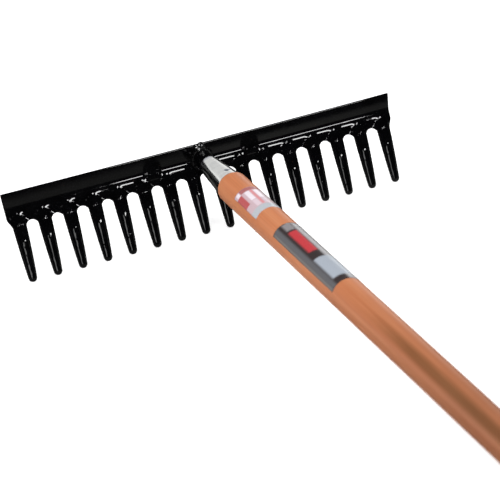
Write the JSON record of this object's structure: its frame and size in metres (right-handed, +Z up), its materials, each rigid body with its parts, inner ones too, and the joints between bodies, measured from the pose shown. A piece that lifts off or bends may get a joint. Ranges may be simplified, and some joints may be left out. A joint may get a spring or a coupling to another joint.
{
  "type": "hay rake",
  "caption": "Long-handled rake with a pressed steel head of channel-shaped teeth, welded to a tang that a plated conical ferrule holds in a straight wooden pole.",
  "frame": {"origin": "centre of the footprint's bounding box, on the floor that the tooth tips and the handle's butt rest on", "axes": "+X along the head, +Y from the handle's butt towards the head, +Z up; the handle slopes down towards -Y by about 2.3 degrees"},
  "size_m": [0.4052, 1.3464, 0.0854],
  "materials": {
    "head_enamel": "gloss black enamel over pressed steel",
    "ferrule_plating": "bright plating, lightly brushed",
    "nail_steel": "dull blued steel",
    "handle_wood": "clear varnish over reddish, straight-grained wood",
    "front_label_film": "printed film in plain blocks of white, red and grey",
    "rear_label_film": "printed film in plain blocks of dark grey, red and silver"
  },
  "bodies": {
    "root": {"rake_head": "head_enamel", "tang": "head_enamel", "neck_weld": "head_enamel", "crown_weld": "head_enamel", "ferrule": "ferrule_plating", "ferrule_nail": "nail_steel", "handle": "handle_wood", "front_label": "front_label_film", "rear_label": "rear_label_film"}
  },
  "joints": []
}
